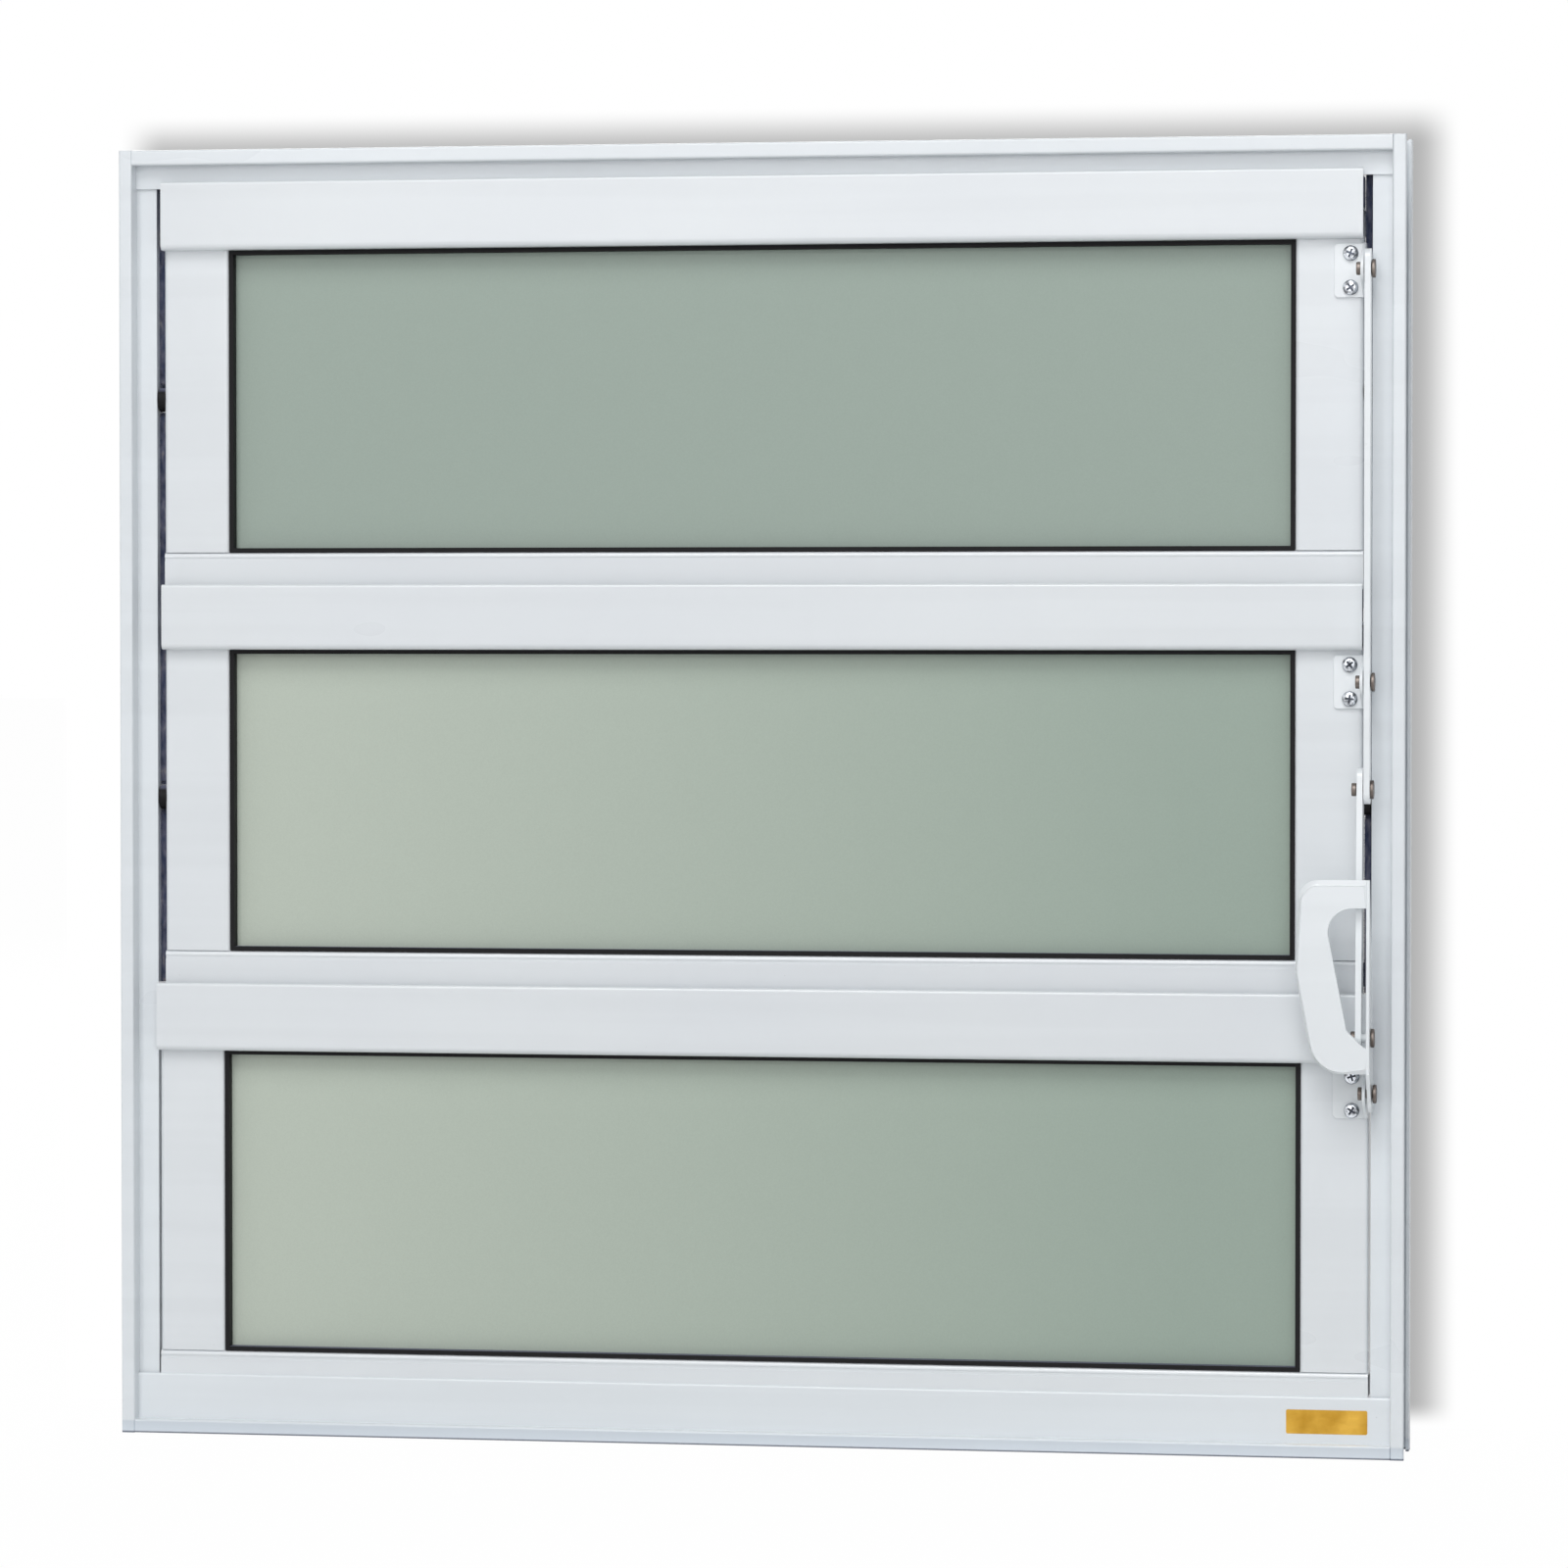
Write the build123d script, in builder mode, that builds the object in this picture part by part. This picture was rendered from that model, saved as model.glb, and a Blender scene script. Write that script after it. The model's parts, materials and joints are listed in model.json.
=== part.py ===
from build123d import *
import os

# Horizontal pivot window: two sashes that tilt together and a fixed sash below them,
# in an aluminium frame, worked by one lever and two flat bars at the right-hand side.
# X runs across the window, Y away from the room and Z up. The origin is the middle of
# the sill's underside. Sizes are in millimetres.

# Outer frame
frame_width = 600
frame_height = 600
frame_depth = 42
frame_wall = 1.4
frame_radius = 1

jamb_flange = 6.3
jamb_width = 15.8
jamb_recess = 9.2

head_flange = 7
head_height = 17.6

# Lip along the back of the jambs and the head, whose outer side is an open channel for mortar
back_lip = 9

sill_step = 6.3
sill_step_depth = 6.6
sill_upstand = 27.5
sill_floor = 13
sill_flat = 16
sill_back = 9

# Sashes
sash_names = ("top_sash", "middle_sash", "fixed_sash")
moving_sashes = 2
sash_head_lap = 1.4
head_lap_extra = 1.5
sash_gap = 5.5
sash_wall = 1.3
sash_radius = 2
top_rail_radius = 2.7
lap_radius = 1.4
sash_depth = 14
sash_setback = 8
sash_step = 6.6
side_gap = 3.9
fixed_side_gap = 1.1
top_rail_height = 30.4
fixed_rail_extra = 1.3
top_lap = 17.5
bottom_rail_height = 27
fixed_bottom_rail_height = 25.5
bottom_lap = 13.5
lap_wall = 1.6
stile_width = 31.1

# Shallow groove along each bottom rail, below its upper edge
groove_drop = 2.4
groove_width = 1.6
groove_depth = 0.4

# Most of a wall that a rounded edge may take
round_share = 0.9

# Glazing
glass_thickness = 4
glass_setback = 6
glass_cover = 1
gasket_width = 2
gasket_setback = 0.3
gasket_lip = 1.5

# Pivots, each a pin in the jamb and a bush in the stile
pivot_below_middle = 0.5
pivot_setback = 6
pivot_pin_diameter = 5
pivot_pin_length = 10
pivot_head_diameter = 6.5
pivot_head_length = 2
bush_diameter = 11.3
bush_clearance = 0.6
bush_shank_diameter = 8
bush_shank_length = 6
running_clearance = 0.05

# Brush seals in the side gaps
seal_width = 4.8
seal_clearance = 0.4
seal_setback = 5
seal_pivot_gap = 2

# Brackets on the right-hand stiles
bracket_width = 14.9
fixed_bracket_width = 16.2
bracket_height = 24.5
bracket_thickness = 1.5
bracket_corner_radius = 2
bracket_rail_gap = 2.05
fixed_bracket_rail_gap = 0.6
ear_end_radius = 6.5
ear_straight = 6
link_reach = 15.6
lever_reach = 13.5

# Flat bars and their rivets
link_width = 9.5
link_thickness = 2.8
layer_gap = 0.3
upper_link_over = 9
lower_pin_drop = 48.5
upper_link_under = 6.6
lower_link_over = 9.8
rivet_diameter = 4
rivet_head_diameter = 8.5
rivet_head_height = 1.6
rivet_tail_diameter = 6
rivet_tail_height = 2.2

# Lever handle, an arm beside the bars with a C-shaped grip across its front
lever_gap = 1.2
lever_thickness = 1.6
lever_end_radius = 8.5
lever_boss_radius = 7
lever_pin_rise = 25.8
lever_pin_forward = 8.5
grip_forward = 15.5
grip_thickness = 2.3
grip_rim = 2.4
grip_rim_depth = 1.5
grip_root = 8
grip_top = 97.3
grip_bottom = 9.9
grip_corner_radius = 9
grip_corner_inset = 23.3
grip_waist_radius = 12
grip_waist_inset = 21.6
grip_waist_rise = 56.7
grip_foot_radius = 15.5
grip_foot_inset = 12.2
grip_top_limb = 12.7
grip_bottom_limb = 11.7
gap_corner_radius = 10.8
gap_corner_inset = 7.9
gap_foot_radius = 9.8
gap_foot_inset = 1.5

# Places worked out from the sizes above
front = -frame_depth / 2
back = frame_depth / 2
half_width = frame_width / 2
jamb_face = front + jamb_recess
jamb_inner = half_width - jamb_width
head_face = jamb_face - frame_wall
head_bottom = frame_height - head_height
lip_front = back - back_lip
sash_face = front + sash_setback
sash_back = sash_face + sash_depth
lap_face = sash_face - sash_step
top_sash_top = head_bottom + sash_head_lap
moving_half = jamb_inner - side_gap
fixed_half = jamb_inner - fixed_side_gap
sash_pitch = (top_sash_top - top_lap + sash_gap - sill_floor) / len(sash_names)
sash_height = sash_pitch + top_lap - sash_gap
pivot_drop = sash_height / 2 + pivot_below_middle
pivot_y = sash_face + pivot_setback
glass_y = sash_face + glass_setback
frame_round = min(frame_radius, round_share * frame_wall)
lap_round = min(lap_radius, round_share * lap_wall)
fixed_top_rail_height = top_rail_height + fixed_rail_extra

plate_face = sash_face - bracket_thickness
ear_inner = moving_half
ear_outer = ear_inner + bracket_thickness
link_inner = ear_outer + layer_gap
link_outer = link_inner + link_thickness
link_y = sash_face - link_reach
fixed_ear_inner = fixed_half - bracket_thickness
arm_inner = fixed_half + lever_gap
arm_outer = arm_inner + lever_thickness
bracket_drop = top_rail_height + bracket_rail_gap + bracket_height / 2
fixed_bracket_drop = fixed_top_rail_height + fixed_bracket_rail_gap + bracket_height / 2
fixed_top = top_sash_top - moving_sashes * sash_pitch
top_pin = (link_y, top_sash_top - bracket_drop)
middle_pin = (link_y, top_sash_top - sash_pitch - bracket_drop)
link_pin = (link_y, middle_pin[1] - lower_pin_drop)
lever_pin = (sash_face - lever_reach, fixed_top - fixed_bracket_drop)
lever_link_pin = (lever_pin[0] - lever_pin_forward, lever_pin[1] + lever_pin_rise)

os.makedirs("parts", exist_ok=True)


def save(part, name):
    part.label = name
    export_step(part, f"parts/{name}.step")


def pivot_heights():
    return [top_sash_top - number * sash_pitch - pivot_drop for number in range(moving_sashes)]


# Frame members


def jamb(side, name):
    outer = side * half_width
    flange = side * (half_width - jamb_flange)
    inner = side * jamb_inner
    wall = side * frame_wall
    with BuildPart() as member:
        with BuildSketch(Plane.XY):
            with BuildLine():
                Polyline((outer, front), (flange, front), (flange, jamb_face), (inner, jamb_face),
                         (inner, back), (outer, back), (outer, lip_front), (outer - wall, lip_front),
                         (outer - wall, back - frame_wall), (inner + wall, back - frame_wall),
                         (inner + wall, jamb_face + frame_wall),
                         (flange + wall, jamb_face + frame_wall), (flange + wall, front + frame_wall),
                         (outer, front + frame_wall), close=True)
            make_face()
        extrude(amount=frame_height)
        fillet(member.edges().filter_by(Axis.Z).group_by(Axis.Y)[0], frame_round)
        for height in pivot_heights():
            with BuildSketch(Plane.YZ.offset(side * jamb_inner)):
                with Locations((pivot_y, height)):
                    Circle(pivot_pin_diameter / 2)
            extrude(amount=wall, mode=Mode.SUBTRACT)
    save(member.part, name)


def jamb_footprint():
    flange = half_width - jamb_flange
    with BuildSketch(Plane.XY) as footprint:
        for side in (-1, 1):
            with BuildLine():
                Polyline((side * half_width, front), (side * flange, front),
                         (side * flange, jamb_face), (side * jamb_inner, jamb_face),
                         (side * jamb_inner, back), (side * half_width, back), close=True)
            make_face()
    return footprint.sketch


def head():
    flange = frame_height - head_flange
    jambs = jamb_footprint()
    with BuildPart() as member:
        with BuildSketch(Plane.YZ):
            with BuildLine():
                Polyline((front, frame_height), (front, flange), (head_face, flange),
                         (head_face, head_bottom), (back, head_bottom), (back, frame_height),
                         (lip_front, frame_height), (lip_front, frame_height - frame_wall),
                         (back - frame_wall, frame_height - frame_wall),
                         (back - frame_wall, head_bottom + frame_wall),
                         (head_face + frame_wall, head_bottom + frame_wall),
                         (head_face + frame_wall, flange + frame_wall),
                         (front + frame_wall, flange + frame_wall),
                         (front + frame_wall, frame_height), close=True)
            make_face()
        extrude(amount=half_width, both=True)
        fillet(member.edges().filter_by(Axis.X).group_by(Axis.Y)[0], frame_round)
        extrude(jambs, amount=frame_height, mode=Mode.SUBTRACT)
    save(member.part, "head")


def sill():
    step_y = front + sill_step_depth
    flat_y = sash_face + sill_flat
    jambs = jamb_footprint()
    upstand_round = min(frame_radius, round_share * (sash_face - step_y))
    with BuildPart() as member:
        with BuildSketch(Plane.YZ):
            with BuildLine():
                Polyline((front, 0), (front, sill_step), (step_y, sill_step), (step_y, sill_upstand),
                         (sash_face, sill_upstand), (sash_face, sill_floor), (flat_y, sill_floor),
                         (back, sill_back), (back, 0), close=True)
            make_face()
            with BuildLine():
                Polyline((front + frame_wall, frame_wall),
                         (front + frame_wall, sill_step - frame_wall),
                         (sash_face, sill_step - frame_wall),
                         (sash_face, sill_floor - frame_wall),
                         (flat_y, sill_floor - frame_wall),
                         (back - frame_wall, sill_back - frame_wall),
                         (back - frame_wall, frame_wall), close=True)
            make_face(mode=Mode.SUBTRACT)
        extrude(amount=half_width, both=True)
        fillet(member.edges().filter_by(Axis.X).group_by(Axis.Y)[0], frame_round)
        upstand_top = member.faces().filter_by(Axis.Z).sort_by(Axis.Z)[-1]
        fillet(upstand_top.edges().filter_by(Axis.X).sort_by(Axis.Y)[0], upstand_round)
        extrude(jambs, amount=frame_height, mode=Mode.SUBTRACT)
    save(member.part, "sill")


def pivot_pins():
    with BuildPart() as pins:
        for side in (-1, 1):
            for height in pivot_heights():
                with BuildSketch(Plane.YZ.offset(side * (jamb_inner + frame_wall))):
                    with Locations((pivot_y, height)):
                        Circle(pivot_pin_diameter / 2)
                extrude(amount=-side * pivot_pin_length)
                with BuildSketch(Plane.YZ.offset(side * (jamb_inner + frame_wall))):
                    with Locations((pivot_y, height)):
                        Circle(pivot_head_diameter / 2)
                extrude(amount=side * pivot_head_length)
    save(pins.part, "pivot_pins")


def brush_seal(side, name):
    seal_depth = side_gap - seal_clearance
    middle_y = jamb_face + seal_setback + seal_width / 2
    with BuildPart() as seal:
        with BuildSketch(Plane.XY.offset(fixed_top)):
            with Locations((side * (jamb_inner - seal_depth / 2), middle_y)):
                Rectangle(seal_depth, seal_width)
        extrude(amount=head_bottom - fixed_top)
        for height in pivot_heights():
            with BuildSketch(Plane.YZ.offset(side * jamb_inner)):
                with Locations((pivot_y, height)):
                    Circle(bush_diameter / 2 + seal_pivot_gap)
            extrude(amount=-side * side_gap, mode=Mode.SUBTRACT)
    save(seal.part, name)


# Sash members


def top_rail(name, top, bottom, half_length):
    lap_bottom = top - top_lap
    with BuildPart() as rail:
        with BuildSketch(Plane.YZ) as section:
            with BuildLine():
                Polyline((lap_face, bottom), (lap_face, top), (lap_face + lap_wall, top),
                         (lap_face + lap_wall, lap_bottom), (sash_back, lap_bottom),
                         (sash_back, bottom), close=True)
            make_face()
            fillet(section.vertices().group_by(Axis.X)[0].sort_by(Axis.Y)[0], top_rail_radius)
            fillet(section.vertices().group_by(Axis.X)[0].sort_by(Axis.Y)[-1], lap_round)
            with BuildLine():
                Polyline((lap_face + lap_wall, bottom + sash_wall),
                         (lap_face + lap_wall, lap_bottom - sash_wall),
                         (sash_back - sash_wall, lap_bottom - sash_wall),
                         (sash_back - sash_wall, bottom + sash_wall), close=True)
            make_face(mode=Mode.SUBTRACT)
        extrude(amount=half_length, both=True)
    save(rail.part, f"{name}_top_rail")


def bottom_rail(name, bottom, top, half_length):
    lap_top = bottom + bottom_lap
    groove_top = top - groove_drop
    groove_low = groove_top - groove_width
    groove_y = sash_face + groove_depth
    with BuildPart() as rail:
        with BuildSketch(Plane.YZ) as section:
            with BuildLine():
                Polyline((sash_face, top), (sash_face, groove_top), (groove_y, groove_top),
                         (groove_y, groove_low), (sash_face, groove_low), (sash_face, bottom),
                         (sash_face + lap_wall, bottom), (sash_face + lap_wall, lap_top),
                         (sash_back, lap_top), (sash_back, top), close=True)
            make_face()
            fillet(section.vertices().group_by(Axis.X)[0].sort_by(Axis.Y)[-1], sash_radius)
            fillet(section.vertices().group_by(Axis.X)[0].sort_by(Axis.Y)[0], lap_round)
            with BuildLine():
                Polyline((sash_face + lap_wall, top - sash_wall),
                         (sash_face + lap_wall, lap_top + sash_wall),
                         (sash_back - sash_wall, lap_top + sash_wall),
                         (sash_back - sash_wall, top - sash_wall), close=True)
            make_face(mode=Mode.SUBTRACT)
        extrude(amount=half_length, both=True)
    save(rail.part, f"{name}_bottom_rail")


def stile(name, side, low, high, half_length, pivot_height):
    middle = (side * (half_length - stile_width / 2), sash_face + sash_depth / 2)
    with BuildPart() as member:
        with BuildSketch(Plane.XY.offset(low)) as section:
            with Locations(middle):
                Rectangle(stile_width, sash_depth)
            fillet(section.vertices().group_by(Axis.Y)[0], sash_radius)
            with Locations(middle):
                Rectangle(stile_width - 2 * sash_wall, sash_depth - 2 * sash_wall, mode=Mode.SUBTRACT)
        extrude(amount=high - low)
        if pivot_height:
            with BuildSketch(Plane.YZ.offset(side * half_length)):
                with Locations((pivot_y, pivot_height)):
                    Circle(bush_shank_diameter / 2)
            extrude(amount=-side * sash_wall, mode=Mode.SUBTRACT)
    save(member.part, f"{name}_{'right' if side > 0 else 'left'}_stile")


def glazing(name, low, high, half_length):
    width = 2 * (half_length - stile_width)
    height = high - low
    middle = (0, (low + high) / 2)
    gasket_front = sash_face + gasket_setback
    gasket_back = glass_y + glass_thickness + gasket_lip
    pane_width = width - 2 * gasket_width + 2 * glass_cover
    pane_height = height - 2 * gasket_width + 2 * glass_cover
    with BuildPart() as gasket:
        with BuildSketch(Plane.XZ.offset(-gasket_front)):
            with Locations(middle):
                Rectangle(width, height)
                Rectangle(width - 2 * gasket_width, height - 2 * gasket_width, mode=Mode.SUBTRACT)
        extrude(amount=gasket_front - gasket_back)
        with BuildSketch(Plane.XZ.offset(-glass_y)):
            with Locations(middle):
                Rectangle(pane_width, pane_height)
        extrude(amount=-glass_thickness, mode=Mode.SUBTRACT)
    save(gasket.part, f"{name}_gasket")
    with BuildPart() as pane:
        with BuildSketch(Plane.XZ.offset(-glass_y)):
            with Locations(middle):
                Rectangle(pane_width, pane_height)
        extrude(amount=-glass_thickness)
    save(pane.part, f"{name}_glass")


def bushes(name, pivot_height, half_length):
    bore = pivot_pin_diameter / 2 + running_clearance
    with BuildPart() as pair:
        for side in (-1, 1):
            with BuildSketch(Plane.YZ.offset(side * half_length)):
                with Locations((pivot_y, pivot_height)):
                    Circle(bush_diameter / 2)
                    Circle(bore, mode=Mode.SUBTRACT)
            extrude(amount=side * (side_gap - bush_clearance))
            with BuildSketch(Plane.YZ.offset(side * half_length)):
                with Locations((pivot_y, pivot_height)):
                    Circle(bush_shank_diameter / 2)
                    Circle(bore, mode=Mode.SUBTRACT)
            extrude(amount=-side * bush_shank_length)
    save(pair.part, f"{name}_bushes")


# Hardware on the right-hand side


def bracket(name, pin, ear_x, width):
    with BuildPart() as angle:
        with BuildSketch(Plane.XZ.offset(-plate_face)):
            with Locations((ear_x + bracket_thickness - width / 2, pin[1])):
                Rectangle(width, bracket_height)
        extrude(amount=-bracket_thickness)
        with BuildSketch(Plane.YZ.offset(ear_x)):
            with Locations((sash_face - ear_straight / 2, pin[1])):
                Rectangle(ear_straight, bracket_height)
            with Locations(pin):
                Circle(ear_end_radius)
            make_hull()
            with Locations(pin):
                Circle(rivet_diameter / 2, mode=Mode.SUBTRACT)
        extrude(amount=bracket_thickness)
        plate_corners = angle.edges().filter_by(Axis.Y).group_by(Axis.X)[0]
        fillet(plate_corners, bracket_corner_radius)
    save(angle.part, f"{name}_bracket")


def upper_link():
    low = link_pin[1] - upper_link_under
    high = top_pin[1] + upper_link_over
    with BuildPart() as bar:
        with BuildSketch(Plane.YZ.offset(link_inner)):
            with Locations((link_y, (low + high) / 2)):
                SlotOverall(high - low, link_width, rotation=90)
            with Locations(top_pin, middle_pin):
                Circle(rivet_diameter / 2 + running_clearance, mode=Mode.SUBTRACT)
            with Locations(link_pin):
                Circle(rivet_diameter / 2, mode=Mode.SUBTRACT)
        extrude(amount=link_thickness)
    save(bar.part, "upper_link")


def lower_link():
    run = Vector(*link_pin) - Vector(*lever_link_pin)
    pins = Plane(origin=(ear_outer, *lever_link_pin), x_dir=(0, run.X, run.Y), z_dir=(-1, 0, 0))
    overall = run.length + lower_link_over + link_width / 2
    with BuildPart() as bar:
        with BuildSketch(pins):
            with Locations(((overall - link_width) / 2, 0)):
                SlotOverall(overall, link_width)
            with Locations((0, 0)):
                Circle(rivet_diameter / 2, mode=Mode.SUBTRACT)
            with Locations((run.length, 0)):
                Circle(rivet_diameter / 2 + running_clearance, mode=Mode.SUBTRACT)
        extrude(amount=link_thickness)
    save(bar.part, "lower_link")


def rivet_head(pin, x):
    with BuildPart() as cap:
        with BuildSketch(Plane.YZ.offset(x)):
            with Locations(pin):
                Circle(rivet_head_diameter / 2)
        extrude(amount=rivet_head_height)
    return cap.part


def rivet_tail(pin, x):
    with BuildPart() as cap:
        with BuildSketch(Plane.YZ.offset(x)):
            with Locations(pin):
                Circle(rivet_tail_diameter / 2)
        extrude(amount=-rivet_tail_height)
    return cap.part


def rivet(name, pin, tail_x, head_x, caps=("tail", "head")):
    with BuildPart() as stud:
        with BuildSketch(Plane.YZ.offset(tail_x)):
            with Locations(pin):
                Circle(rivet_diameter / 2)
        extrude(amount=head_x - tail_x)
        if "head" in caps:
            add(rivet_head(pin, head_x))
        if "tail" in caps:
            add(rivet_tail(pin, tail_x))
    save(stud.part, name)


def lever():
    grip_back = lever_pin[0] - grip_forward
    grip_face = grip_back - grip_thickness
    top = lever_pin[1] + grip_top
    bottom = lever_pin[1] + grip_bottom
    gap_top = top - grip_top_limb
    gap_bottom = bottom + grip_bottom_limb
    with BuildPart() as handle:
        with BuildSketch(Plane.XZ.offset(-grip_face)):
            with Locations((arm_outer - grip_corner_inset, top - grip_corner_radius)):
                Circle(grip_corner_radius)
            with Locations((arm_outer - grip_waist_inset, lever_pin[1] + grip_waist_rise)):
                Circle(grip_waist_radius)
            with Locations((arm_outer - grip_foot_inset, bottom + grip_foot_radius)):
                Circle(grip_foot_radius)
            with Locations((arm_outer - grip_root / 2, (top + bottom) / 2)):
                Rectangle(grip_root, top - bottom)
            make_hull()
        extrude(amount=-grip_thickness)
        plate = handle.faces().sort_by(Axis.Y)[0]
        chamfer(plate.edges(), grip_rim, grip_rim_depth, reference=plate)
        with BuildSketch(Plane.XZ.offset(-grip_face)):
            with Locations((arm_outer - gap_corner_inset, gap_top - gap_corner_radius)):
                Circle(gap_corner_radius)
            with Locations((arm_outer - gap_foot_inset, gap_bottom + gap_foot_radius)):
                Circle(gap_foot_radius)
            with Locations((arm_outer, (gap_top + gap_bottom) / 2)):
                Rectangle(lever_thickness, gap_top - gap_bottom)
            make_hull()
        extrude(amount=-grip_thickness, mode=Mode.SUBTRACT)
        split(bisect_by=Plane.YZ.offset(arm_outer), keep=Keep.BOTTOM)
        with BuildSketch(Plane.YZ.offset(arm_inner)):
            with Locations(lever_pin):
                Circle(lever_end_radius)
            with Locations(lever_link_pin):
                Circle(lever_boss_radius)
            with Locations((grip_face + grip_thickness / 2, (top + bottom) / 2)):
                Rectangle(grip_thickness, top - bottom)
            make_hull()
            with Locations(lever_pin):
                Circle(rivet_diameter / 2 + running_clearance, mode=Mode.SUBTRACT)
            with Locations(lever_link_pin):
                Circle(rivet_diameter / 2, mode=Mode.SUBTRACT)
        extrude(amount=lever_thickness)
    save(handle.part, "lever")


jamb(-1, "left_jamb")
jamb(1, "right_jamb")
head()
sill()
pivot_pins()
brush_seal(-1, "left_brush_seal")
brush_seal(1, "right_brush_seal")

for number, name in enumerate(sash_names):
    moves = number < moving_sashes
    sash_top = top_sash_top - number * sash_pitch
    sash_bottom = sash_top - sash_height
    opening_top = sash_top - (top_rail_height if moves else fixed_top_rail_height)
    opening_bottom = sash_bottom + (bottom_rail_height if moves else fixed_bottom_rail_height)
    stile_half = moving_half if moves else fixed_half
    rail_top = sash_top if number else sash_top + head_lap_extra
    pivot_height = sash_top - pivot_drop if moves else None
    top_rail(name, rail_top, opening_top, stile_half)
    bottom_rail(name, sash_bottom, opening_bottom, stile_half)
    for side in (-1, 1):
        stile(name, side, opening_bottom, opening_top, stile_half, pivot_height)
    glazing(name, opening_bottom, opening_top, stile_half)
    if moves:
        bushes(name, pivot_height, stile_half)

bracket("top_sash", top_pin, ear_inner, bracket_width)
bracket("middle_sash", middle_pin, ear_inner, bracket_width)
bracket("fixed_sash", lever_pin, fixed_ear_inner, fixed_bracket_width)
upper_link()
lower_link()
lever()
rivet("top_sash_rivet", top_pin, ear_inner, link_outer + layer_gap)
rivet("middle_sash_rivet", middle_pin, ear_inner, link_outer + layer_gap)
rivet("fixed_sash_rivet", lever_pin, fixed_ear_inner, arm_outer + layer_gap)
rivet("upper_link_rivet", link_pin, ear_outer - link_thickness - layer_gap, link_outer)
rivet("lower_link_rivet", lever_link_pin, ear_outer - link_thickness, arm_inner - layer_gap, ("tail",))
rivet("lever_rivet", lever_link_pin, arm_inner, arm_outer, ("head",))
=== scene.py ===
import json
import math
import random
import bpy
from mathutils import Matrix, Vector

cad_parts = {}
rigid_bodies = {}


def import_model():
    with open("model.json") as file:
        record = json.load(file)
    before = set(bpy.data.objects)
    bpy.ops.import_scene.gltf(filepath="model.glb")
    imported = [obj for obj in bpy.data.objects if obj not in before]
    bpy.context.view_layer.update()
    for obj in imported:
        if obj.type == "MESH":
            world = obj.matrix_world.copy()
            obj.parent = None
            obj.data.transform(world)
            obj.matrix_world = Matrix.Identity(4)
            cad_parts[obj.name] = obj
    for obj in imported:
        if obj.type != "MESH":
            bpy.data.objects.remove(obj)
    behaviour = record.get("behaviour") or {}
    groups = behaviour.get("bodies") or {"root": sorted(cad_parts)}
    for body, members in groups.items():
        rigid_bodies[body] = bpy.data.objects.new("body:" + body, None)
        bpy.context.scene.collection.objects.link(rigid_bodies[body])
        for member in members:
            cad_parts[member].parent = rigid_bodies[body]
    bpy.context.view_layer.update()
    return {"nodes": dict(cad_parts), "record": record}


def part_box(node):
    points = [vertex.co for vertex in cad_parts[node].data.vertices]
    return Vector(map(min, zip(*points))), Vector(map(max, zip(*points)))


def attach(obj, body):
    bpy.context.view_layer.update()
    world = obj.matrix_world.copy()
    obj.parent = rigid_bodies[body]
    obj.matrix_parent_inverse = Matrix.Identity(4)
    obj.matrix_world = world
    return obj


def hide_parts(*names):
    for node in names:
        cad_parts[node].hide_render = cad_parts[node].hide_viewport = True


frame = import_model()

mm = 0.001  # the pieces' own sizes are in mm, places in the room in metres
random.seed(7)


# Places taken from the frame, in metres
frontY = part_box("sill")[0].y
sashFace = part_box("top_sash_right_stile")[0].y
sashes = ("top_sash", "middle_sash", "fixed_sash")
bodyOf = {node: obj.parent.name.split(":")[1] for node, obj in frame["nodes"].items()}
slotOf = {part["node"]: part["material_slot"] for part in frame["record"]["subparts"]}


# Small tools used by every piece

def linear(red, green, blue):
    # A colour as read from a picture, 0 to 255, made linear for a shader
    parts = [value / 255 for value in (red, green, blue)]
    parts = [p / 12.92 if p <= 0.04045 else ((p + 0.055) / 1.055) ** 2.4 for p in parts]
    return (*parts, 1)


def grey(value):
    return (value, value, value, 1)


def clearSelection():
    if bpy.context.object and bpy.context.object.mode != "OBJECT":
        bpy.ops.object.mode_set(mode="OBJECT")
    bpy.ops.object.select_all(action="DESELECT")


def makeActive(piece):
    clearSelection()
    piece.select_set(True)
    bpy.context.view_layer.objects.active = piece


def namePiece(name):
    piece = bpy.context.object
    piece.name = name
    piece.data.name = name
    return piece


def settle(piece):
    # Puts the place of a finished piece in its mesh
    makeActive(piece)
    bpy.ops.object.transform_apply(location=True, rotation=True, scale=True)


def applyModifier(piece, kind, **settings):
    makeActive(piece)
    modifier = piece.modifiers.new(kind.title(), kind)
    for key, value in settings.items():
        setattr(modifier, key, value)
    bpy.ops.object.modifier_apply(modifier=modifier.name)


def pickFaces(piece, test):
    # Selects the faces whose centre and normal pass the test, in edit mode
    makeActive(piece)
    bpy.ops.object.mode_set(mode="EDIT")
    bpy.ops.mesh.select_mode(type="FACE")
    bpy.ops.mesh.select_all(action="DESELECT")
    bpy.ops.object.mode_set(mode="OBJECT")
    for face in piece.data.polygons:
        face.select = test(face.center, face.normal)
    bpy.ops.object.mode_set(mode="EDIT")


def smoothByAngle(piece, degrees):
    makeActive(piece)
    bpy.ops.object.shade_smooth_by_angle(angle=math.radians(degrees))


def copyPiece(pattern):
    # A copy with a mesh of its own
    piece = pattern.copy()
    piece.data = pattern.data.copy()
    bpy.context.scene.collection.objects.link(piece)
    return piece


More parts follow.
